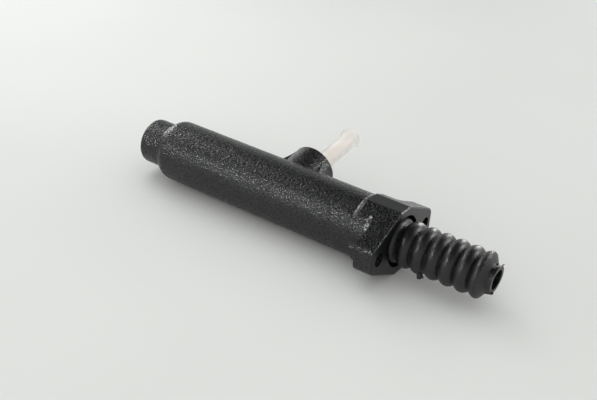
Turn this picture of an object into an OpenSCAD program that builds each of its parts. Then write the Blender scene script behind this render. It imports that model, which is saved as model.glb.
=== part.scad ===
// Clutch master cylinder, side inlet, two-bolt flange, bellows boot
// The bore runs along X. The origin is on the bore axis at the mounting face.
// The boot points to +X, the outlet nose to -X, and the inlet to +Y.

/* [Housing] */
// Outside diameter of the barrel
body_d = 43.5; // [41:0.5:46]
// Diameter of the bore
bore_d = 25.4; // [23:0.2:27]
// Mounting face to the end of the nose
housing_len = 212.5; // [195:0.5:230]
// Wall between the end of the bore and the end of the nose
end_wall = 22.5; // [19:0.5:26]
// Outside diameter of the outlet nose
nose_d = 32.5; // [30:0.5:36]
// Length of the nose, from its end to where the shoulder reaches full size
nose_len = 27; // [22:0.5:30]
// Radius of the rounded shoulder behind the nose
shoulder_r = 9; // [7:0.5:11]
// Radius of the hollow between nose and shoulder
neck_r = 4; // [2:0.5:5]
// Rounding at the end of the nose
nose_round = 3; // [1.5:0.5:4]

/* [Flange] */
// Thickness of the middle of the flange
hub_t = 25.5; // [21:0.5:28]
// Thickness of each ear
ear_t = 13.5; // [10:0.5:16]
// Width of the flange across its flats
hub_w = 46; // [45:0.5:49]
// Length of each flat
hub_flat = 11; // [8:0.5:14]
// Axis of a bolt to the end of its ear
ear_margin = 8; // [6:0.5:9]
// Width of an ear at its end
ear_end_w = 16; // [15:0.5:20]
// Rounding of the corners of the ears
ear_round = 5; // [3:0.5:6]
// Rounding of the corners between flats and ears
hub_round = 2; // [1:0.5:3]
// Bevel round the mounting face
face_bevel = 0.8; // [0.4:0.1:1.2]
// Diameter of the round collar behind the ears
collar_d = 47.4; // [46.5:0.2:50]
// Hollow radius from barrel to collar
collar_fillet = 1.9; // [1:0.1:2.5]
// Hollow radius from collar to ear
ear_fillet = 3; // [2:0.5:4]
// Distance between the two mounting bolts
bolt_spacing = 58; // [57:0.5:62]
// Diameter of a mounting bolt hole
bolt_hole_d = 9; // [8.4:0.1:10]
// Diameter of the faced spot behind each ear
spot_d = 14; // [13:0.5:14]
// Depth of the faced spot
spot_depth = 0.6; // [0.3:0.1:1]

/* [Boot recess] */
// Diameter of the recess that the boot sits in
recess_d = 35.6; // [34:0.2:37]
// Depth of the recess
recess_depth = 13; // [11:0.5:15]
// Outside diameter of the groove for the bead of the boot
bead_groove_d = 39.4; // [38.5:0.1:40.5]
// Width of the groove for the bead
bead_groove_w = 3.4; // [3:0.1:4]

/* [Inlet] */
// Mounting face to the inlet boss
inlet_x = 93; // [80:0.5:105]
// Turn of the inlet boss about the bore, up from the line of the ears
inlet_angle = 11.5; // [0:1:20]
// Diameter of the inlet boss
boss_d = 32.5; // [30:0.5:34]
// Bore axis to the end of the inlet boss
boss_h = 35.5; // [34:0.5:42]
// Bevel at the end of the inlet boss
boss_bevel = 0.8; // [0.3:0.1:1]
// Hollow radius of the webs beside the inlet boss
boss_foot_r = 38; // [30:1:60]
// Width of the webs at the foot of the inlet boss
boss_web_w = 22; // [16:0.5:26]
// Middle of the boss to the middle of the grommet seat, towards the flange
seat_offset = 3; // [0:0.5:4]
// Diameter of the seat for the grommet
seat_d = 18.4; // [18:0.2:19]
// Depth of the seat for the grommet
seat_depth = 12; // [11:0.5:14]
// Diameter of the feed hole into the bore
feed_d = 5; // [4:0.5:5]
// Feed hole, behind the middle of the seat
feed_offset = 6.2; // [5.5:0.1:6.4]
// Diameter of the small compensating hole into the bore
comp_d = 1; // [0.7:0.1:1]
// Compensating hole, ahead of the middle of the seat
comp_offset = 8.2; // [7.8:0.1:8.4]

/* [Outlet] */
// Core diameter of the outlet thread
outlet_d = 10.9; // [9:0.1:12.5]
// Depth of the outlet thread
outlet_depth = 11; // [9:0.5:12]
// Diameter of the pocket below the thread
pocket_d = 9; // [8:0.5:9.5]
// Depth of the pocket below the thread
pocket_depth = 3.5; // [3:0.5:4]
// Diameter of the passage from bore to outlet
passage_d = 4; // [3:0.5:5]
// Diameter of the pressed-in flare seat
flare_seat_d = 7; // [6:0.5:8]
// Full height of the flare seat
flare_seat_h = 6; // [5:0.5:7]

/* [Piston] */
// Diameter of the waist between the lands
waist_d = 16; // [14:0.5:18]
// Length of the front land
front_land = 4.5; // [4:0.5:5]
// Length of the rear land, with its seal groove
rear_land = 19; // [18:0.5:24]
// Diameter of the push rod socket
socket_d = 12; // [10:0.5:13]
// Depth of the push rod socket, its round end included
socket_depth = 16; // [12:0.5:20]
// Number of feed holes through the front land
land_holes = 6; // [4:1:8]
// Diameter of a feed hole through the front land
land_hole_d = 2.2; // [1.5:0.1:2.5]

/* [Seals and stop] */
// Full length of the primary cup
cup_len = 6.8; // [6:0.2:8]
// Thickness of the base of the primary cup
cup_base = 3; // [2.5:0.1:3.5]
// Thickness of the lip of the primary cup
cup_lip = 2.2; // [1.8:0.1:2.6]
// Thickness of the washer between piston and cup
shim_t = 0.5; // [0.4:0.1:1]
// Width of the secondary seal
rear_seal_w = 5.5; // [5:0.1:6.5]
// Diameter at the bottom of the seal groove
rear_groove_d = 18; // [16.5:0.1:19]
// Diameter of the counterbore for the stop washer
stop_d = 29.6; // [29:0.1:31]
// Thickness of the stop washer
stop_t = 1.6; // [1.2:0.1:2]
// Hole through the stop washer
stop_hole_d = 14.5; // [13.5:0.5:16]
// Thickness of the circlip
clip_t = 1.4; // [1.2:0.1:1.6]
// Outside diameter of the circlip groove
clip_groove_d = 32; // [31.6:0.1:32.6]
// Recess floor to the circlip groove
clip_setback = 1.9; // [1.5:0.1:2.5]
// Radial width of the circlip
clip_w = 2.6; // [2.4:0.1:2.8]

/* [Return spring] */
// Wire diameter of the return spring
wire_d = 1.8; // [1.4:0.1:2]
// Outside diameter of the return spring
spring_od = 17.6; // [16.5:0.1:18]
// Number of working turns
spring_turns = 11; // [9:1:13]
// Thickness of the sheet of the spring seat
seat_sheet = 0.8; // [0.6:0.1:1]
// Height of the spring seat's pilot
pilot_h = 5.5; // [4:0.5:8]

/* [Inlet nipple] */
// Outside diameter of the nipple
nipple_d = 12; // [11:0.2:12.4]
// Bore of the nipple
nipple_bore = 7; // [5:0.5:8]
// Bore axis to the end of the nipple
nipple_end = 80; // [70:0.5:85]
// Diameter of the hose bead
hose_bead_d = 15.2; // [13.8:0.2:15.6]
// Length of the hose bead
hose_bead_len = 6; // [4:0.5:8]
// Diameter of the collar above the grommet
nipple_collar_d = 17; // [15.5:0.5:18]
// Thickness of the collar above the grommet
nipple_collar_t = 2.2; // [1.5:0.1:3]
// Diameter of the foot below the grommet's waist
nipple_foot_d = 14.6; // [13.6:0.2:15.6]
// Height of that foot
nipple_foot_h = 3.5; // [3:0.5:4]
// Diameter of the top lip of the grommet
grommet_lip_d = 21.6; // [20:0.2:23]
// Thickness of the top lip of the grommet
grommet_lip_t = 1.6; // [1.2:0.1:2.5]

/* [Boot] */
// Number of folds
folds = 7; // [5:1:8]
// Distance from fold to fold
fold_pitch = 10.2; // [9.5:0.1:11]
// Diameter over a fold
fold_d = 31.4; // [29.5:0.1:32]
// Outside diameter between two folds
valley_d = 24.6; // [24:0.1:26]
// Shape of a fold, from pointed at 1 to square at 0
fold_bluntness = 0.66; // [0.5:0.02:1]
// Wall of the boot
boot_wall = 1.6; // [1.3:0.1:1.9]
// Mounting face to the crest of the first fold, inwards
first_fold = 3.3; // [2.5:0.1:4]
// Outside diameter of the end collar
boot_collar_d = 18.4; // [17:0.2:20]
// Hole at the end of the boot
boot_hole_d = 13.4; // [12:0.2:14]
// Length of the end collar
boot_collar_len = 3; // [2:0.5:5]

/* [Fits] */
// Radial running clearance of the piston and its seals
run_gap = 0.05; // [0.02:0.01:0.08]
// Clearance of seated inner pieces
seat_gap = 0.05; // [0.03:0.01:0.1]

/* [Hidden] */

// Smoothness of turned and of small round shapes
fine = 96;
small = 32;
// Spare length that a cutting tool runs past a face
over = 1;

ear_span = bolt_spacing + 2 * ear_margin;

// Radii
body_r = body_d / 2;
bore_r = bore_d / 2;
nose_r = nose_d / 2;
collar_r = collar_d / 2;
land_r = bore_r - run_gap;
waist_r = waist_d / 2;
socket_r = socket_d / 2;
nipple_r = nipple_d / 2;
wire_r = wire_d / 2;
spring_r = spring_od / 2 - wire_r;

// Places along the bore, mounting face at zero
x_shoulder = nose_len - housing_len;
x_bore_end = end_wall - housing_len;
x_thread = outlet_depth - housing_len;
x_pocket = x_thread + pocket_depth;
x_flare = x_pocket + flare_seat_h - pocket_depth + seat_gap;
x_recess = -recess_depth;
clip_groove_w = clip_t + 2 * seat_gap;
x_clip = x_recess - clip_setback - clip_groove_w;
x_stop = x_clip - stop_t - seat_gap;
x_rear = x_stop - seat_gap;
x_seat = seat_offset - inlet_x;
x_comp = x_seat - comp_offset;
// The lip of the primary cup rests just behind the compensating hole
x_lip = x_comp + comp_d;
x_cup = x_lip + cup_len;
x_front = x_cup + seat_gap + shim_t + seat_gap;
x_cup_floor = x_cup - cup_base;
x_spring = x_cup_floor - seat_gap - seat_sheet;
x_rear_seal = x_rear - rear_seal_w - 5;

// Heights above the bore axis along the inlet boss
h_seat = boss_h - seat_depth;
h_collar = boss_h + grommet_lip_t + 2 * seat_gap;

// Points along an arc, from angle a0 to angle a1
function arc(cx, cy, r, a0, a1, n = 8) =
    [for (i = [0:n]) let (a = a0 + (a1 - a0) * i / n) [cx + r * cos(a), cy + r * sin(a)]];

// Turns a profile of [radius, place along X] about the bore axis
module turned(points) {
    rotate([0, 90, 0])
        rotate_extrude($fn = fine)
            polygon(points);
}

// A round bar or tool along X, between two places
module bar_x(d, x0, x1, sides = fine) {
    translate([x0, 0, 0])
        rotate([0, 90, 0])
            cylinder(d = d, h = x1 - x0, $fn = sides);
}

// Children drawn along Z stand over the bore in the direction of the inlet boss
module on_inlet(x) {
    translate([x, 0, 0])
        rotate([inlet_angle - 90, 0, 0])
            children();
}

// Outline of the two-eared flange, Y across and Z up, drawn in by e
module flange_outline(e = 0) {
    // Slope of the long sides, and half the turn at each corner
    slope = atan2(hub_w - ear_end_w, ear_span - hub_flat);
    flat_turn = tan(slope / 2);
    end_turn = tan((90 - slope) / 2);
    hw = hub_w / 2 - e;
    hf = hub_flat / 2 - e * flat_turn;
    span = ear_span / 2 - e;
    ew = ear_end_w / 2 - e * end_turn;
    er = ear_round - e;
    hr = hub_round - e;
    corner = arc(span - er, ew - er * end_turn, er, 0, 90 - slope, 5);
    shoulder = arc(hf - hr * flat_turn, hw - hr, hr, 90 - slope, 90, 3);
    quarter = concat(corner, shoulder);
    n = len(quarter) - 1;
    upper = concat(quarter, [for (i = [n:-1:0]) [-quarter[i][0], quarter[i][1]]]);
    lower = [for (p = upper) [-p[0], -p[1]]];
    polygon(concat(upper, lower));
}

// A plate with the flange's outline, drawn in by e, between two places along X
module flange_plate(x0, x1, e = 0) {
    translate([x0, 0, 0])
        rotate([90, 0, 90])
            linear_extrude(x1 - x0)
                flange_outline(e);
}

// Barrel, rounded shoulder and outlet nose
module barrel() {
    // Centre of the hollow that joins nose and shoulder
    sr = body_r - shoulder_r;
    dr = nose_r + neck_r - sr;
    dx = sqrt(pow(shoulder_r + neck_r, 2) - dr * dr);
    lean = atan2(dx, dr);
    x_nose = -housing_len;
    nose_edge = arc(nose_r - nose_round, x_nose + nose_round, nose_round, -90, 0, 6);
    neck = arc(nose_r + neck_r, x_shoulder - dx, neck_r, 180, 180 - lean, 6);
    shoulder = arc(sr, x_shoulder, shoulder_r, -lean, 0, 8);
    turned(concat([[0, x_nose]], nose_edge, neck, shoulder,
                  [[body_r, -hub_t / 2], [0, -hub_t / 2]]));
}

// Flange with its collar, ears relieved behind and all inner corners hollowed
module flange() {
    x_back = -hub_t;
    collar = arc(body_r + collar_fillet, x_back - collar_fillet, collar_fillet, 180, 90, 5);
    ear = arc(collar_r + ear_fillet, -ear_t - ear_fillet, ear_fillet, 180, 90, 5);
    reach = ear_span;
    intersection() {
        turned(concat([[0, x_back - collar_fillet]], collar, [[collar_r, x_back]],
                      ear, [[reach, -ear_t], [reach, 0], [0, 0]]));
        union() {
            flange_plate(x_back - collar_fillet - over, -face_bevel);
            hull() {
                flange_plate(-ear_t / 2, -face_bevel);
                flange_plate(-face_bevel / 3, 0, face_bevel);
            }
        }
    }
}

// Inlet boss with a web on each side, hollowed down to the barrel
module inlet_boss() {
    boss_r = boss_d / 2;
    web = boss_web_w;
    // The foot runs out just inside the barrel, at the sides of the web
    h_low = sqrt(body_r * body_r - web * web / 4) - 0.3;
    h_foot = boss_h - 2;
    lean = asin((h_foot - h_low) / boss_foot_r);
    reach = boss_r + boss_foot_r * (1 - cos(lean));
    on_inlet(-inlet_x) {
        rotate_extrude($fn = fine)
            polygon([[0, 0], [boss_r, 0], [boss_r, boss_h - boss_bevel],
                     [boss_r - boss_bevel, boss_h], [0, boss_h]]);
        intersection() {
            rotate_extrude($fn = fine)
                polygon(concat([[0, h_low - over], [reach, h_low - over]],
                               arc(boss_r + boss_foot_r, h_foot, boss_foot_r, 180 + lean, 180, 6),
                               [[0, h_foot]]));
            translate([-reach, -web / 2, 0])
                cube([2 * reach, web, boss_h]);
        }
    }
}

module housing() {
    color("#26272a")
    difference() {
        union() {
            barrel();
            flange();
            inlet_boss();
        }
        // Bore, its chamfered mouth, stop seat and circlip groove
        bar_x(bore_d, x_bore_end, over);
        bar_x(stop_d, x_stop, over);
        bar_x(clip_groove_d, x_clip, x_clip + clip_groove_w);
        // Recess and bead groove for the boot
        bar_x(recess_d, x_recess, over);
        bar_x(bead_groove_d, x_recess, x_recess + bead_groove_w);
        // Outlet port, flare seat bore and passage
        bar_x(outlet_d, -housing_len - over, x_thread, small);
        bar_x(pocket_d, x_thread - over, x_pocket, small);
        bar_x(flare_seat_d, x_pocket - over, x_flare, small);
        bar_x(passage_d, -housing_len, x_bore_end + over, small);
        // Grommet seat, feed hole and compensating hole
        on_inlet(x_seat) {
            translate([0, 0, h_seat])
                cylinder(d = seat_d, h = seat_depth + over, $fn = fine);
            translate([feed_offset, 0, bore_r / 2])
                cylinder(d = feed_d, h = h_seat, $fn = small);
            translate([-comp_offset, 0, bore_r / 2])
                cylinder(d = comp_d, h = h_seat, $fn = small);
        }
        // Bolt holes, faced behind the ears
        for (side = [-1, 1])
            translate([0, side * bolt_spacing / 2, 0]) {
                bar_x(bolt_hole_d, -hub_t, over, small);
                bar_x(spot_d, -hub_t - collar_fillet - over, spot_depth - ear_t, fine);
            }
    }
}

// Flare seat, pressed into the bottom of the outlet port
module outlet_seat() {
    x0 = x_flare - seat_gap;
    r = flare_seat_d / 2 - seat_gap;
    bore = passage_d / 2;
    cone = r - bore - 0.5;
    color("#b08d4a")
        turned([[bore, x0], [r, x0], [r, x0 - flare_seat_h + cone],
                [r - cone, x0 - flare_seat_h], [bore, x0 - flare_seat_h]]);
}

// Plastic hose nipple, pushed into its grommet
module inlet_nipple() {
    h_foot = h_seat + 0.4;
    h_bead = nipple_end - hose_bead_len;
    bead_r = hose_bead_d / 2;
    color("#d9d3cd")
    on_inlet(x_seat)
        difference() {
            rotate_extrude($fn = fine)
                polygon([
                    [0, h_foot], [nipple_foot_d / 2 - 1, h_foot], [nipple_foot_d / 2, h_foot + 1.2],
                    [nipple_foot_d / 2, h_foot + nipple_foot_h], [nipple_r, h_foot + nipple_foot_h],
                    [nipple_r, h_collar], [nipple_collar_d / 2, h_collar],
                    [nipple_collar_d / 2, h_collar + nipple_collar_t],
                    [nipple_r + 0.6, h_collar + nipple_collar_t],
                    [nipple_r, h_collar + nipple_collar_t + 4],
                    [nipple_r, h_bead], [bead_r, h_bead + hose_bead_len * 0.3],
                    [bead_r, h_bead + hose_bead_len * 0.5],
                    [nipple_r - 0.4, nipple_end], [0, nipple_end]
                ]);
            cylinder(d = nipple_bore, h = nipple_end + over, $fn = fine);
        }
}

// Rubber grommet between boss and nipple
module nipple_grommet() {
    r_in = nipple_r + seat_gap;
    r_foot = nipple_foot_d / 2 + seat_gap;
    h_step = h_seat + 0.4 + nipple_foot_h + seat_gap;
    r_out = seat_d / 2 - seat_gap;
    h0 = h_seat + seat_gap;
    h1 = boss_h + seat_gap;
    color("#1d1d1e")
    on_inlet(x_seat)
        rotate_extrude($fn = fine)
            polygon([
                [r_foot, h0], [r_out, h0], [r_out, h1], [grommet_lip_d / 2, h1],
                [grommet_lip_d / 2 - 0.5, h1 + grommet_lip_t], [r_in, h1 + grommet_lip_t],
                [r_in, h_step], [r_foot, h_step]
            ]);
}

// Bellows boot, one moulding with its bead, folds and end collar
module boot() {
    crest = fold_d / 2;
    valley = valley_d / 2;
    x_first = -first_fold;
    x_last = x_first + (folds - 1) * fold_pitch;
    x_end = x_last + 0.5 * fold_pitch + boot_collar_len;
    x_bead = x_recess + seat_gap;
    bead_w = bead_groove_w - 2 * seat_gap;
    bead_r = bead_groove_d / 2 - seat_gap;
    mouth_r = recess_d / 2 - 2 * seat_gap;
    // Each fold is blunt on its crest and steep into the tight valley beside it
    steps = 14;
    wave = [for (i = [0:steps * (folds - 1)])
        let (f = abs(cos(180 * i / steps)))
            [valley + (crest - valley) * pow(f, fold_bluntness), x_first + fold_pitch * i / steps]];
    outer = concat(
        [[bead_r, x_bead], [bead_r, x_bead + bead_w], [mouth_r, x_bead + bead_w],
         [mouth_r, x_bead + bead_w + 0.8], [valley + 1, x_first - fold_pitch * 0.35]],
        wave,
        [[crest - 0.6, x_last + fold_pitch * 0.12],
         [boot_collar_d / 2, x_end - boot_collar_len], [boot_collar_d / 2, x_end],
         [boot_hole_d / 2, x_end]]);
    inner_wave = [for (p = wave) [p[0] - boot_wall, p[1]]];
    n = len(inner_wave) - 1;
    inner = concat(
        [[boot_hole_d / 2, x_end - boot_collar_len - 0.4],
         [crest - 0.6 - boot_wall * 1.2, x_last + fold_pitch * 0.05]],
        [for (i = [n:-1:0]) inner_wave[i]],
        [[valley + 1 - boot_wall, x_first - fold_pitch * 0.35 - 0.3],
         [stop_d / 2, x_bead + bead_w * 0.6], [stop_d / 2, x_bead]]);
    color("#1b1b1c")
        turned(concat(outer, inner));
}

// Circlip with two eyed lugs
module circlip() {
    x0 = x_clip + seat_gap;
    r = clip_groove_d / 2 - seat_gap;
    gap = 26;
    lug_r = 1.9;
    color("#8c8f93")
    difference() {
        union() {
            difference() {
                bar_x(2 * r, x0, x0 + clip_t);
                bar_x(2 * (r - clip_w), x0 - over, x0 + clip_t + over);
                translate([x0 - over, 0, 0])
                    rotate([90, 0, 90])
                        linear_extrude(clip_t + 2 * over)
                            polygon([[0, 0], r * 2 * [sin(gap), -cos(gap)], r * 2 * [-sin(gap), -cos(gap)]]);
            }
            for (side = [-1, 1])
                translate([0, side * (r - clip_w) * sin(gap + 4), -(r - clip_w) * cos(gap + 4)])
                    bar_x(2 * lug_r, x0, x0 + clip_t, small);
        }
        for (side = [-1, 1])
            translate([0, side * (r - clip_w) * sin(gap + 4), -(r - clip_w) * cos(gap + 4)])
                bar_x(1.6, x0 - over, x0 + clip_t + over, small);
    }
}

// Washer that stops the piston
module stop_washer() {
    x0 = x_stop + seat_gap / 2;
    r = stop_d / 2 - seat_gap;
    color("#9a9c9f")
        turned([[stop_hole_d / 2, x0], [r, x0], [r, x0 + stop_t], [stop_hole_d / 2, x0 + stop_t]]);
}

// Long piston with a waist, a seal groove, a rod socket and drilled front land
module piston() {
    groove_r = rear_groove_d / 2;
    x_land = x_rear - rear_land;
    x_seal1 = x_rear_seal + rear_seal_w + 2 * seat_gap;
    edge = 0.5;
    color("#a9abae")
    difference() {
        turned([
            [0, x_front], [land_r - edge, x_front], [land_r, x_front + edge],
            [land_r, x_front + front_land], [waist_r, x_front + front_land + 1.5],
            [waist_r, x_land - 2], [land_r, x_land],
            [land_r, x_rear_seal], [groove_r, x_rear_seal], [groove_r, x_seal1],
            [land_r, x_seal1], [land_r, x_rear - edge], [land_r - edge, x_rear], [0, x_rear]
        ]);
        // Socket with a round end for the push rod
        bar_x(socket_d, x_rear - socket_depth + socket_r, x_rear + over);
        translate([x_rear - socket_depth + socket_r, 0, 0])
            rotate([0, 90, 0])
                sphere(d = socket_d, $fn = fine);
        for (i = [0:land_holes - 1])
            rotate([i * 360 / land_holes, 0, 0])
                translate([0, 0, (waist_r + land_r) / 2])
                    bar_x(land_hole_d, x_front - over, x_front + front_land + over + 1.5, small);
    }
}

// Lipped rubber ring in the rear groove of the piston
module rear_seal() {
    r0 = rear_groove_d / 2 + seat_gap;
    r1 = land_r;
    x0 = x_rear_seal + seat_gap;
    x1 = x0 + rear_seal_w;
    color("#202021")
        turned([
            [r0, x0 + 0.4], [r0 + 1.2, x0], [r0 + 1.6, x0 + 1.8], [r1 - 1.1, x0 + 1.8],
            [r1 - 0.5, x0], [r1, x0 + 0.3], [r1, x0 + 2.2], [r1 - 0.6, x1], [r0, x1]
        ]);
}

// Thin steel washer between piston and primary cup
module cup_washer() {
    x0 = x_cup + seat_gap;
    color("#a7a8aa")
        turned([[4, x0], [land_r - 0.8, x0], [land_r - 0.8, x0 + shim_t], [4, x0 + shim_t]]);
}

// Primary cup, open towards the outlet
module primary_cup() {
    lip_in = land_r - cup_lip;
    color("#202021")
        turned([
            [0, x_cup_floor], [lip_in - 1, x_cup_floor], [lip_in, x_cup_floor - 1],
            [land_r - 1.1, x_lip], [land_r - 0.3, x_lip], [land_r, x_lip + 0.8],
            [land_r, x_lip + 2.5], [land_r - 0.7, x_cup], [0, x_cup]
        ]);
}

// Pressed steel seat that carries the spring on the cup
module spring_seat() {
    x0 = x_cup_floor - seat_gap;
    r1 = land_r - cup_lip - 1;
    pilot = spring_r - wire_r - 0.4;
    color("#b3a36b")
        turned([
            [0, x0 - pilot_h], [pilot - 1, x0 - pilot_h], [pilot, x0 - pilot_h + 1],
            [pilot, x0 - seat_sheet], [r1, x0 - seat_sheet], [r1, x0], [pilot - seat_sheet, x0],
            [pilot - seat_sheet, x0 - pilot_h + seat_sheet + 0.5],
            [pilot - seat_sheet - 0.5, x0 - pilot_h + seat_sheet], [0, x0 - pilot_h + seat_sheet]
        ]);
}

// Coil spring with closed end turns
module return_spring() {
    x0 = x_bore_end + wire_r + seat_gap;
    x1 = x_spring - wire_r - seat_gap;
    closed = 1.25;
    turns = spring_turns + 2 * closed;
    per_turn = 16;
    sides = 8;
    n = round(turns * per_turn);
    close_rise = closed * wire_d * 1.04;
    // Place along the bore after t turns: slow in the closed ends, even between
    function rise(t) =
        t < closed ? x0 + close_rise * t / closed :
        t > turns - closed ? x1 - close_rise * (turns - t) / closed :
        x0 + close_rise + (x1 - x0 - 2 * close_rise) * (t - closed) / spring_turns;
    points = [for (i = [0:n], j = [0:sides - 1])
        let (t = i * turns / n, a = 360 * t, b = 360 * j / sides, r = spring_r + wire_r * cos(b))
            [rise(t) + wire_r * sin(b), r * cos(a), r * sin(a)]];
    side_faces = [for (i = [0:n - 1], j = [0:sides - 1])
        let (k = (j + 1) % sides)
            [i * sides + j, i * sides + k, (i + 1) * sides + k, (i + 1) * sides + j]];
    first = [for (j = [sides - 1:-1:0]) j];
    last = [for (j = [0:sides - 1]) n * sides + j];
    color("#9fa3a8")
        polyhedron(points, concat([first], side_faces, [last]), convexity = 10);
}

housing();
outlet_seat();
inlet_nipple();
nipple_grommet();
boot();
circlip();
stop_washer();
piston();
rear_seal();
cup_washer();
primary_cup();
spring_seat();
return_spring();
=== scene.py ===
from math import pi, radians

import bpy
from mathutils import Matrix, Vector


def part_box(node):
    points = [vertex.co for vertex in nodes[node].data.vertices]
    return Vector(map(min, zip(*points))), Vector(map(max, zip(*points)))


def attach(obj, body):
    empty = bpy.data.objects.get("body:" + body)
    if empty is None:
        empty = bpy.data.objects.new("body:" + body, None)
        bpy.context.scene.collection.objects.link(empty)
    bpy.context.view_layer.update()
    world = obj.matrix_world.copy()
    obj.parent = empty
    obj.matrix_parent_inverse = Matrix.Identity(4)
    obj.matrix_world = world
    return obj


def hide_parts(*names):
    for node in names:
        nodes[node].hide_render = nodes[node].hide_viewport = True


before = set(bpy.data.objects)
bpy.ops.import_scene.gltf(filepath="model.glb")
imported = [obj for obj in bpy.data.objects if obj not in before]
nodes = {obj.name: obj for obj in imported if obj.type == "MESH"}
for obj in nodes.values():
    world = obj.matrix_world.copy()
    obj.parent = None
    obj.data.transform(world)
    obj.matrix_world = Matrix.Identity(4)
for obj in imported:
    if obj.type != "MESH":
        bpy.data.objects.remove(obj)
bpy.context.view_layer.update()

print("frame loaded,", len(nodes), "nodes")

mm = 0.001


# Helpers shared by the pieces and materials below

def linear(hexColour):
    parts = [int(hexColour[i:i + 2], 16) / 255 for i in (1, 3, 5)]
    return [p / 12.92 if p <= 0.04045 else ((p + 0.055) / 1.055) ** 2.4 for p in parts] + [1.0]


def perMetre(millimetres):  # noise scale for a feature of that size
    return 1000 / millimetres


def addNode(tree, kind, settings=None, sockets=None):
    made = tree.nodes.new(kind)
    for name, value in (settings or {}).items():
        setattr(made, name, value)
    for name, value in (sockets or {}).items():
        if isinstance(value, bpy.types.NodeSocket):
            tree.links.new(value, made.inputs[name])
        else:
            made.inputs[name].default_value = value
    return made


def newMaterial(name):
    made = bpy.data.materials.new(name)
    made.use_nodes = True
    made.node_tree.nodes.clear()
    tree = made.node_tree
    out = addNode(tree, "ShaderNodeOutputMaterial")
    place = addNode(tree, "ShaderNodeTexCoord").outputs["Object"]
    return made, tree, out, place


def addShader(tree, out, sockets):
    shader = addNode(tree, "ShaderNodeBsdfPrincipled", None, sockets)
    tree.links.new(shader.outputs["BSDF"], out.inputs["Surface"])


def ramp(tree, factor, stops):
    made = addNode(tree, "ShaderNodeValToRGB", None, {"Fac": factor})
    colours = made.color_ramp.elements
    while len(colours) < len(stops):
        colours.new(0.5)
    for element, (at, colour) in zip(colours, stops):
        element.position = at
        element.color = colour
    return made.outputs["Color"]


def calc(tree, operation, first, second=0.0, third=0.0):
    made = addNode(tree, "ShaderNodeMath", {"operation": operation}, {0: first, 1: second, 2: third})
    return made.outputs[0]


def spread(tree, value, fromMin, fromMax, toMin, toMax):
    made = addNode(tree, "ShaderNodeMapRange", None, {
        "Value": value, "From Min": fromMin, "From Max": fromMax, "To Min": toMin, "To Max": toMax})
    return made.outputs["Result"]


def blend(tree, factor, under, over):
    made = addNode(tree, "ShaderNodeMix", {"data_type": "RGBA"}, {0: factor})
    for socket, value in ((made.inputs[6], under), (made.inputs[7], over)):
        if isinstance(value, bpy.types.NodeSocket):
            tree.links.new(value, socket)
        else:
            socket.default_value = value
    return made.outputs[2]


def dress(names, material):
    for name in names:
        mesh = nodes[name].data
        mesh.materials.clear()
        mesh.materials.append(material)


# Sand-cast grey iron, sprayed black: deep satin black, pebbled and pitted, so each grain glints on its own
castIron = {
    # The pale third colour paints highlights in the look of bare iron
    "colour": "#0a0b0c", "worn": "#131415", "paintedHighlight": "#bdbebf", "wornFrom": 0.35, "wornTo": 0.75,
    # Sizes of the features in millimetres, the height of the grain in metres
    "grain": 1.15, "grainRoughness": 0.62, "grainHeight": 0.00036, "fleck": 0.95, "waviness": 9,
    "pit": 1.7, "pitShare": 0.55, "pitFloor": 0.12, "pitRim": 0.3,
    "fleckFrom": 0.44, "fleckTo": 0.58, "roughLow": 0.12, "roughHigh": 0.5, "roughFlat": 0.3,
    "gloss": 0.52, "pitGloss": 0.03, "ior": 1.47,
    # Where the machined flats of the hub and the mounting face begin, in metres
    "flatTop": 0.02285, "faceX": -0.0004, "flatStrength": 0.05,
    # Painted highlights along the back edge of the near ear, coloured as bare iron: place and radius in
    # millimetres
    "paintedEdgeHighlights": (
        (-16.6, -15.4, 18.0, 1.5), (-17.8, -17.0, 16.2, 1.2),
        (-16.3, -19.1, 14.1, 1.6), (-16.5, -20.4, 12.0, 1.5)),
    "paintedEdgeHighlightCore": 0.4,
    # Painted highlight along the top of the collar's ridge, coloured as bare iron and kept to its upper
    # side: middle and half width in millimetres, heights in metres
    "ridgeHighlightX": -28.4, "ridgeHighlightHalf": 1.1, "ridgeHighlightFrom": 0.0135, "ridgeHighlightFull": 0.018,
    # How ragged the painted highlights are, and how much they act as metal
    "paintedHighlightRaggedFrom": 0.42, "paintedHighlightRaggedTo": 0.6, "paintedHighlightRaggedLeast": 0.1, "paintedHighlightMetal": 0.35,
}


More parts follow.
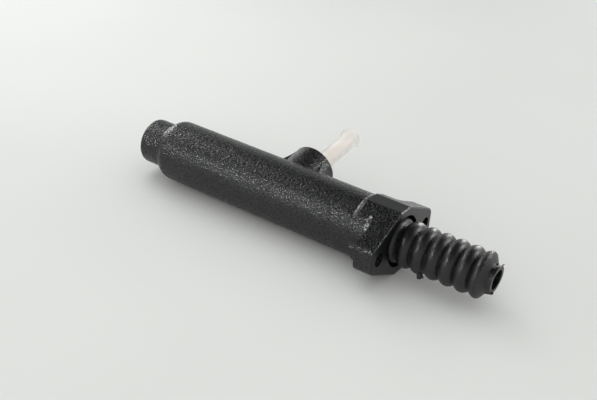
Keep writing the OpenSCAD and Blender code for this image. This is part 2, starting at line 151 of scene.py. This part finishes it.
def makeCastIron(c):
    made, tree, out, place = newMaterial("satin black paint on sand-cast iron")
    coarse = addNode(tree, "ShaderNodeTexNoise", None, {
        "Vector": place, "Scale": perMetre(c["grain"]),
        "Detail": 3.0, "Roughness": c["grainRoughness"]}).outputs["Fac"]
    # Flecks of glossier paint on the tops of the grains
    flecks = addNode(tree, "ShaderNodeTexNoise", {"noise_dimensions": "4D"}, {
        "Vector": place, "W": 3.0, "Scale": perMetre(c["fleck"]), "Detail": 1.0}).outputs["Fac"]
    cells = addNode(tree, "ShaderNodeTexVoronoi", {"feature": "F1"}, {
        "Vector": place, "Scale": perMetre(c["pit"]), "Randomness": 1.0}).outputs["Distance"]
    waves = addNode(tree, "ShaderNodeTexNoise", None, {
        "Vector": place, "Scale": perMetre(c["waviness"]), "Detail": 2.0}).outputs["Fac"]
    axes = addNode(tree, "ShaderNodeSeparateXYZ", None, {"Vector": place})
    # Machined or ground places: the two flats of the hub and the mounting face
    onFlat = calc(tree, "GREATER_THAN", calc(tree, "ABSOLUTE", axes.outputs["Z"]), c["flatTop"])
    onFace = calc(tree, "GREATER_THAN", axes.outputs["X"], c["faceX"])
    smooth = calc(tree, "MAXIMUM", onFlat, onFace)
    rugged = calc(tree, "SUBTRACT", 1.0, smooth)
    pits = calc(tree, "MULTIPLY", spread(tree, cells, c["pitFloor"], c["pitRim"], 1.0, 0.0), rugged)
    height = calc(tree, "MULTIPLY_ADD", cells, c["pitShare"], coarse)
    bump = addNode(tree, "ShaderNodeBump", None, {
        "Strength": spread(tree, smooth, 0.0, 1.0, 1.0, c["flatStrength"]),
        "Distance": c["grainHeight"], "Height": height}).outputs["Normal"]
    # Painted highlights, coloured as bare iron: spots along the ear's back edge and a line on the collar's
    # ridge, made ragged by the grain
    paintedHighlight = None
    for x, y, z, radius in c["paintedEdgeHighlights"]:
        apart = addNode(tree, "ShaderNodeVectorMath", {"operation": "DISTANCE"}, {
            0: place, 1: (x * mm, y * mm, z * mm)}).outputs["Value"]
        near = spread(tree, apart, c["paintedEdgeHighlightCore"] * radius * mm, radius * mm, 1.0, 0.0)
        paintedHighlight = near if paintedHighlight is None else calc(tree, "MAXIMUM", paintedHighlight, near)
    offRidge = calc(tree, "ABSOLUTE", calc(tree, "SUBTRACT", axes.outputs["X"], c["ridgeHighlightX"] * mm))
    ridge = spread(tree, offRidge, 0.0, c["ridgeHighlightHalf"] * mm, 1.0, 0.0)
    ridge = calc(tree, "MULTIPLY", ridge, spread(
        tree, axes.outputs["Z"], c["ridgeHighlightFrom"], c["ridgeHighlightFull"], 0.0, 1.0))
    paintedHighlight = calc(tree, "MULTIPLY", calc(tree, "MAXIMUM", paintedHighlight, ridge), spread(
        tree, coarse, c["paintedHighlightRaggedFrom"], c["paintedHighlightRaggedTo"], c["paintedHighlightRaggedLeast"], 1.0))
    colour = ramp(tree, waves, [(c["wornFrom"], linear(c["colour"])), (c["wornTo"], linear(c["worn"]))])
    # Painted highlights laid over the paint in the pale colour
    colour = blend(tree, paintedHighlight, colour, linear(c["paintedHighlight"]))
    rough = spread(tree, flecks, c["fleckFrom"], c["fleckTo"], c["roughHigh"], c["roughLow"])
    rough = calc(tree, "MULTIPLY_ADD", rough, rugged, calc(tree, "MULTIPLY", smooth, c["roughFlat"]))
    addShader(tree, out, {
        "Base Color": colour, "Roughness": rough, "Normal": bump, "IOR": c["ior"],
        "Specular IOR Level": spread(tree, pits, 0.0, 1.0, c["gloss"], c["pitGloss"]),
        "Metallic": calc(tree, "MULTIPLY", paintedHighlight, c["paintedHighlightMetal"])})
    return made


# Moulded EPDM rubber: soft satin black with a dusty bloom, so the folds show broad grey highlights
bootRubber = {
    "colour": "#0c0c0d", "bloom": "#171718", "bloomFrom": 0.3, "bloomTo": 0.8, "blotch": 7,
    "pore": 0.5, "poreHeight": 0.00006, "poreStrength": 0.6,
    "roughFrom": 0.3, "roughTo": 0.7, "roughLow": 0.36, "roughHigh": 0.52, "ior": 1.52,
}


def makeRubber(name, c):
    made, tree, out, place = newMaterial(name)
    blotch = addNode(tree, "ShaderNodeTexNoise", None, {
        "Vector": place, "Scale": perMetre(c["blotch"]), "Detail": 4.0, "Roughness": 0.6}).outputs["Fac"]
    pore = addNode(tree, "ShaderNodeTexNoise", None, {
        "Vector": place, "Scale": perMetre(c["pore"]), "Detail": 2.0}).outputs["Fac"]
    colour = ramp(tree, blotch, [(c["bloomFrom"], linear(c["colour"])), (c["bloomTo"], linear(c["bloom"]))])
    rough = spread(tree, blotch, c["roughFrom"], c["roughTo"], c["roughLow"], c["roughHigh"])
    bump = addNode(tree, "ShaderNodeBump", None, {
        "Strength": c["poreStrength"], "Distance": c["poreHeight"], "Height": pore}).outputs["Normal"]
    addShader(tree, out, {"Base Color": colour, "Roughness": rough, "Normal": bump, "IOR": c["ior"]})
    return made


# Natural nylon, injection moulded: milky and half clear, so the tube nearly vanishes on a pale ground
naturalNylon = {
    "colour": "#fffcfa", "cloud": "#fcf6f1", "cloudFrom": 0.35, "cloudTo": 0.7, "cloudSize": 6,
    "rippleHeight": 0.00004, "rippleStrength": 0.5, "transmission": 0.9, "roughness": 0.4,
    "ior": 1.2,  # lower than nylon's own, so that the tube nearly vanishes as in the photo
}


def makeNylon(c):
    made, tree, out, place = newMaterial("natural nylon, moulded")
    cloud = addNode(tree, "ShaderNodeTexNoise", None, {
        "Vector": place, "Scale": perMetre(c["cloudSize"]), "Detail": 3.0}).outputs["Fac"]
    colour = ramp(tree, cloud, [(c["cloudFrom"], linear(c["colour"])), (c["cloudTo"], linear(c["cloud"]))])
    bump = addNode(tree, "ShaderNodeBump", None, {
        "Strength": c["rippleStrength"], "Distance": c["rippleHeight"], "Height": cloud}).outputs["Normal"]
    addShader(tree, out, {
        "Base Color": colour, "Roughness": c["roughness"], "Normal": bump, "IOR": c["ior"],
        "Transmission Weight": c["transmission"]})
    return made


# Turned, pressed or drawn metal: fine tool marks round the bore axis that stretch each highlight
turnedMetals = {
    # name of the material, light and dark colour, roughness, width of the marks in millimetres
    "brass": ("turned brass", "#c79b4e", "#b3873c", 0.24, 0.25),
    "steel": ("oiled spring steel", "#8d9095", "#6e7176", 0.32, 0.35),
    "zinc": ("zinc-plated pressed steel", "#b9bab4", "#a5a69d", 0.36, 0.5),
    "alloy": ("turned aluminium alloy", "#c6c8ca", "#b4b6b9", 0.28, 0.3),
    "iron": ("tapped grey iron", "#6d6e70", "#515254", 0.34, 0.2),
}
toolMarks = {
    "stretch": (1.0, 0.04, 0.04), "strength": 0.4, "height": 0.00003,
    "stain": 5, "stainFrom": 0.35, "stainTo": 0.7, "roughFrom": 0.3, "roughTo": 0.7, "roughRise": 0.14,
}


def makeMetal(name, light, dark, roughness, pitch):
    c = toolMarks
    made, tree, out, place = newMaterial(name)
    mapped = addNode(tree, "ShaderNodeMapping", None, {
        "Vector": place, "Scale": c["stretch"]}).outputs["Vector"]
    marks = addNode(tree, "ShaderNodeTexNoise", None, {
        "Vector": mapped, "Scale": perMetre(pitch), "Detail": 2.0}).outputs["Fac"]
    stain = addNode(tree, "ShaderNodeTexNoise", None, {
        "Vector": place, "Scale": perMetre(c["stain"]), "Detail": 3.0}).outputs["Fac"]
    colour = ramp(tree, stain, [(c["stainFrom"], linear(light)), (c["stainTo"], linear(dark))])
    rough = spread(tree, stain, c["roughFrom"], c["roughTo"], roughness, roughness + c["roughRise"])
    bump = addNode(tree, "ShaderNodeBump", None, {
        "Strength": c["strength"], "Distance": c["height"], "Height": marks}).outputs["Normal"]
    addShader(tree, out, {"Base Color": colour, "Metallic": 1.0, "Roughness": rough, "Normal": bump})
    return made


# Nitrile seals, wet with fluid: darker and glossier than the boot
sealRubber = dict(bootRubber, colour="#0e0e10", bloom="#17171a", roughLow=0.22, roughHigh=0.34)

metals = {key: makeMetal(*values) for key, values in turnedMetals.items()}
rubber = makeRubber("moulded EPDM rubber", bootRubber)
seals = makeRubber("moulded nitrile rubber", sealRubber)
iron = makeCastIron(castIron)
nylon = makeNylon(naturalNylon)
dress(["housing"], iron)
dress(["boot", "nipple_grommet"], rubber)
dress(["rear_seal", "primary_cup"], seals)
dress(["inlet_nipple"], nylon)
dress(["outlet_seat"], metals["brass"])
dress(["circlip", "return_spring"], metals["steel"])
dress(["stop_washer", "cup_washer", "spring_seat"], metals["zinc"])
dress(["piston"], metals["alloy"])
print("materials done")


def selectOnly(*things):
    bpy.ops.object.select_all(action="DESELECT")
    for thing in things:
        thing.select_set(True)
    bpy.context.view_layer.objects.active = things[-1]


def tidyMesh(piece, gap=0.000005):  # closes seams and turns faces outwards
    selectOnly(piece)
    bpy.ops.object.mode_set(mode="EDIT")
    bpy.ops.mesh.select_all(action="SELECT")
    bpy.ops.mesh.remove_doubles(threshold=gap)
    bpy.ops.mesh.normals_make_consistent(inside=False)
    bpy.ops.object.mode_set(mode="OBJECT")


def selectEnd(piece, direction):  # the faces that look along a direction, within about 25 degrees
    bpy.ops.object.mode_set(mode="OBJECT")
    for face in piece.data.polygons:
        face.select = face.normal.dot(direction) > 0.9
    bpy.ops.object.mode_set(mode="EDIT")


# The boot itself: its folds lean a little and the wall is not quite even, as on a soft moulding
bellows = {
    # The lean is a slope; it grows between these two places in millimetres
    "lean": 0.043, "leanFrom": 3, "leanFull": 12,
    # The lattice that leans it, in metres
    "cagePoints": 12, "cageSlack": 0.002, "cageWidth": 0.044,
    # Lumps of the wall and where they begin, in metres
    "lumpSize": 0.011, "lumpHeight": 0.0003, "lumpFrom": 0.004, "smoothAngle": 38,
    # Flash left where the mould halves and the gate met: place, direction, radius and length
    # in millimetres, then the width of the tip against the middle
    "flash": {
        "nub": ((18.6, -7.6, -11.2), (0.2, -0.5, -0.85), 2.0, 3.7, 0.8),
        "hook": ((19.6, -8.0, -12.0), (0.7, -0.4, -0.6), 1.2, 3.0, 0.6),
        "spike": ((64.6, 5.4, 5.6), (0.45, 0.6, 0.62), 1.1, 4.2, 0.3),
        "crumb": ((64.3, 2.2, 7.6), (-0.3, 0.1, 0.95), 1.0, 2.4, 0.6),
        "flap": ((61.2, -4.6, -8.6), (0.93, 0.1, 0.16), 1.2, 5.0, 0.8),
    },
    "flashCorners": 10, "tipInset": 0.3, "rootFlare": 1.5, "softness": 2,
}


def makeFlash(c, name, place, direction, radius, length, taper):
    bpy.ops.object.select_all(action="DESELECT")
    tip = Vector(direction).normalized()
    middle = (Vector(place) + tip * length / 2) * mm
    turn = Vector(direction).to_track_quat("Z", "Y").to_euler()
    bpy.ops.mesh.primitive_cylinder_add(
        vertices=c["flashCorners"], radius=radius * mm, depth=length * mm, location=middle, rotation=turn)
    bit = bpy.context.object
    bit.name = name
    bpy.ops.object.transform_apply(location=True, rotation=True, scale=True)
    bpy.ops.object.mode_set(mode="EDIT")
    bpy.ops.mesh.select_mode(type="FACE")
    selectEnd(bit, tip)
    bpy.ops.transform.resize(value=(taper, taper, taper))
    bpy.ops.mesh.inset(thickness=radius * taper * c["tipInset"] * mm)
    bpy.ops.transform.translate(value=tip * radius * c["tipInset"] * mm)
    selectEnd(bit, -tip)
    bpy.ops.transform.resize(value=[c["rootFlare"]] * 3)
    bpy.ops.object.mode_set(mode="OBJECT")
    softer = bit.modifiers.new("softer", "SUBSURF")
    softer.levels = softer.render_levels = c["softness"]
    bpy.ops.object.modifier_apply(modifier="softer")
    return bit


def makeBellows(c):
    low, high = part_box("boot")
    boot = bpy.data.objects.new("bellows", nodes["boot"].data.copy())
    bpy.context.scene.collection.objects.link(boot)
    tidyMesh(boot)
    # A lattice leans the folds: its top moves towards +X and its bottom back
    bpy.ops.object.select_all(action="DESELECT")
    bpy.ops.object.add(type="LATTICE", location=((low[0] + high[0]) / 2, 0, 0))
    cage = bpy.context.object
    cage.data.points_u, cage.data.points_v, cage.data.points_w = c["cagePoints"], 2, 2
    for way in ("interpolation_type_u", "interpolation_type_v", "interpolation_type_w"):
        setattr(cage.data, way, "KEY_LINEAR")
    span = (high[0] - low[0] + c["cageSlack"], c["cageWidth"], c["cageWidth"])
    cage.scale = span
    for point in cage.data.points:
        x = cage.location.x + point.co.x * span[0]
        part = min(1, max(0, (x / mm - c["leanFrom"]) / (c["leanFull"] - c["leanFrom"])))
        shift = c["lean"] * part * point.co.z * span[2]
        point.co_deform = point.co + Vector((shift / span[0], 0, 0))
    selectOnly(boot)
    leaning = boot.modifiers.new("leaning", "LATTICE")
    leaning.object = cage
    bpy.ops.object.modifier_apply(modifier="leaning")
    selectOnly(cage)
    bpy.ops.object.delete()
    # Low lumps outside the recess only, so the bead stays in its groove
    free = boot.vertex_groups.new(name="outside")
    free.add([v.index for v in boot.data.vertices if v.co.x > c["lumpFrom"]], 1.0, "REPLACE")
    clouds = bpy.data.textures.new("lumps", "CLOUDS")
    clouds.noise_scale = c["lumpSize"]
    selectOnly(boot)
    lumps = boot.modifiers.new("lumps", "DISPLACE")
    lumps.texture = clouds
    lumps.texture_coords = "LOCAL"
    lumps.strength = c["lumpHeight"]
    lumps.vertex_group = "outside"
    bpy.ops.object.modifier_apply(modifier="lumps")
    bits = [makeFlash(c, name, *values) for name, values in c["flash"].items()]
    selectOnly(*bits, boot)
    bpy.ops.object.join()
    boot.data.materials.clear()
    boot.data.materials.append(rubber)
    bpy.ops.object.shade_smooth_by_angle(angle=radians(c["smoothAngle"]))
    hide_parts("boot")
    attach(boot, "cylinder")


makeBellows(bellows)
print("bellows done")


# Thread of the outlet port, one ridge wound along the hole: sizes in millimetres
outletThread = {
    "start": 0.9, "length": 9.6, "pitch": 1.0, "rootRadius": 5.52, "depth": 0.55, "steps": 40,
    # The ridge's section: where its middle lies in the depth, its stretch, and where its root ends
    "sectionMiddle": 0.35, "sectionStretch": (1.02, 1, 0.73), "rootEnd": 0.3, "smoothAngle": 35,
}


def makeThread(c):
    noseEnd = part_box("housing")[0][0]
    x = noseEnd + c["start"] * mm
    bpy.ops.object.select_all(action="DESELECT")
    bpy.ops.mesh.primitive_circle_add(
        vertices=3, radius=c["pitch"] * 0.5 * mm, fill_type="NOTHING",
        location=(x, 0, (c["rootRadius"] - c["depth"] * c["sectionMiddle"]) * mm), rotation=(pi / 2, 0, 0))
    ridge = bpy.context.object
    ridge.name = "outlet_thread"
    bpy.ops.object.transform_apply(location=True, rotation=True, scale=True)
    # Of the three corners, two belong at the root and one at the crest: if not, the section is turned over
    bpy.ops.object.mode_set(mode="EDIT")
    bpy.ops.mesh.select_all(action="SELECT")
    bpy.ops.transform.resize(value=c["sectionStretch"])
    bpy.ops.object.mode_set(mode="OBJECT")
    rootEnd = (c["rootRadius"] - c["rootEnd"] * c["depth"]) * mm
    if sum(v.co.z < rootEnd for v in ridge.data.vertices) > 1:
        bpy.ops.object.mode_set(mode="EDIT")
        bpy.ops.mesh.select_all(action="SELECT")
        bpy.ops.transform.resize(value=(1, 1, -1))
        bpy.ops.object.mode_set(mode="OBJECT")
    winding = ridge.modifiers.new("winding", "SCREW")
    winding.axis = "X"
    winding.angle = 2 * pi
    winding.screw_offset = c["pitch"] * mm
    winding.iterations = int(c["length"] / c["pitch"])
    winding.steps = winding.render_steps = c["steps"]
    bpy.ops.object.modifier_apply(modifier="winding")
    bpy.ops.object.mode_set(mode="EDIT")
    bpy.ops.mesh.select_all(action="SELECT")
    bpy.ops.mesh.remove_doubles(threshold=0.000002)
    bpy.ops.mesh.fill_holes(sides=4)
    bpy.ops.mesh.normals_make_consistent(inside=False)
    bpy.ops.object.mode_set(mode="OBJECT")
    bpy.ops.object.shade_smooth_by_angle(angle=radians(c["smoothAngle"]))
    ridge.data.materials.append(metals["iron"])
    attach(ridge, "cylinder")


makeThread(outletThread)
print("outlet thread done")


# Pale paper on the floor, just under the flange, and a plain studio round it
stageSet = {
    "floorZ": -0.0231, "floorSize": 6.0, "floorColour": "#d9dad9", "floorPale": "#dedfde",
    "floorMottle": 3.0, "mottleFrom": 0.3, "mottleTo": 0.7, "floorRough": 0.8, "floorGloss": 0.15,
    "worldFill": 0.88, "fillColour": "#f6f7f4",
    "backdrop": "#dfe1e0", "ceiling": "#1b1c1e", "wallFoot": 0.3, "wallTop": 0.75,
}
# Softboxes light only matte surfaces, and glints show only in gloss, so each is set on its own
lamps = {
    # place, size, watts, aimed at, lights matte surfaces, shows in gloss
    "softboxAbove": ((-0.5, -0.1, 1.15), 0.9, 1.1, (-0.08, 0, 0), True, False),
    "softboxLeft": ((-0.62, 0.22, 0.5), 0.4, 1.0, (-0.5, 0.13, 0), True, False),
    "softboxFront": ((0.35, -1.3, 0.72), 1.3, 4.4, (-0.02, -0.03, -0.02), True, False),
    "glintFront": ((-0.54, -0.8, 0.48), 0.12, 4.6, (-0.08, 0, 0), False, True),
    "glintLeft": ((-1.05, 0.0, 0.74), 0.22, 3.6, (-0.17, 0, 0), False, True),
    "glintBack": ((-1.1, 0.42, 0.28), 0.26, 3.5, (-0.05, 0, 0), False, True),
    "glintBehind": ((-0.05, 1.3, 0.36), 0.35, 9, (0, 0, 0), False, True),
    "glintRight": ((0.62, 0.66, 0.48), 0.12, 4.5, (0.02, 0, 0), False, True),
}


def makeFloor(c):
    bpy.ops.object.select_all(action="DESELECT")
    bpy.ops.mesh.primitive_plane_add(size=c["floorSize"], location=(0, 0, c["floorZ"]))
    floor = bpy.context.object
    floor.name = "floor"
    bpy.ops.object.transform_apply(location=True)
    made, tree, out, place = newMaterial("matte studio paper")
    mottle = addNode(tree, "ShaderNodeTexNoise", None, {
        "Vector": place, "Scale": c["floorMottle"], "Detail": 2.0}).outputs["Fac"]
    colour = ramp(tree, mottle, [
        (c["mottleFrom"], linear(c["floorColour"])), (c["mottleTo"], linear(c["floorPale"]))])
    addShader(tree, out, {
        "Base Color": colour, "Roughness": c["floorRough"], "Specular IOR Level": c["floorGloss"]})
    floor.data.materials.append(made)


def makeWorld(c):
    world = bpy.data.worlds.new("studio")
    bpy.context.scene.world = world
    world.use_nodes = True
    tree = world.node_tree
    tree.nodes.clear()
    rays = addNode(tree, "ShaderNodeLightPath").outputs
    seen = calc(tree, "MAXIMUM", rays["Is Camera Ray"], rays["Is Transmission Ray"])
    seen = calc(tree, "MAXIMUM", seen, rays["Is Glossy Ray"])
    fill = addNode(tree, "ShaderNodeBackground", None, {
        "Color": linear(c["fillColour"]), "Strength": c["worldFill"]})
    # Pale walls under a dim ceiling, so that black paint keeps its depth
    upwards = addNode(tree, "ShaderNodeSeparateXYZ", None, {
        "Vector": addNode(tree, "ShaderNodeTexCoord").outputs["Generated"]}).outputs["Z"]
    walls = ramp(tree, upwards, [
        (c["wallFoot"], linear(c["backdrop"])), (c["wallTop"], linear(c["ceiling"]))])
    shown = addNode(tree, "ShaderNodeBackground", None, {"Color": walls, "Strength": 1.0})
    mix = addNode(tree, "ShaderNodeMixShader", None, {
        0: seen, 1: fill.outputs["Background"], 2: shown.outputs["Background"]})
    out = addNode(tree, "ShaderNodeOutputWorld")
    tree.links.new(mix.outputs["Shader"], out.inputs["Surface"])


def makeLamp(name, place, size, watts, target, matte, gloss):
    data = bpy.data.lights.new(name, "AREA")
    data.shape = "SQUARE"
    data.size = size
    data.energy = watts
    lamp = bpy.data.objects.new(name, data)
    bpy.context.scene.collection.objects.link(lamp)
    lamp.visible_diffuse = matte
    lamp.visible_glossy = gloss
    lamp.location = place
    lamp.rotation_euler = (Vector(target) - Vector(place)).to_track_quat("-Z", "Y").to_euler()


# The camera was fitted to the photo: it stands high beyond the boot's end, on the side away from
# the inlet, and leans a little
photoCamera = {
    "place": (0.2395, -0.4884, 0.3314), "lens": 60.0, "sensor": 36, "clipStart": 0.01,
    "right": (0.81299, 0.57859, 0.06541),
    "up": (-0.33357, 0.37071, 0.86678),
    "back": (0.47726, -0.7265, 0.49439),
}


def makeCamera(c):
    data = bpy.data.cameras.new("photoCamera")
    data.sensor_width = c["sensor"]
    data.lens = c["lens"]
    data.clip_start = c["clipStart"]
    camera = bpy.data.objects.new("photoCamera", data)
    bpy.context.scene.collection.objects.link(camera)
    turn = Matrix([c["right"], c["up"], c["back"]]).transposed()
    camera.matrix_world = Matrix.Translation(c["place"]) @ turn.to_4x4()
    bpy.context.scene.camera = camera


makeFloor(stageSet)
makeWorld(stageSet)
for lampName, values in lamps.items():
    makeLamp(lampName, *values)
makeCamera(photoCamera)
bpy.context.scene.view_settings.view_transform = "Standard"
print("floor, light and camera done")
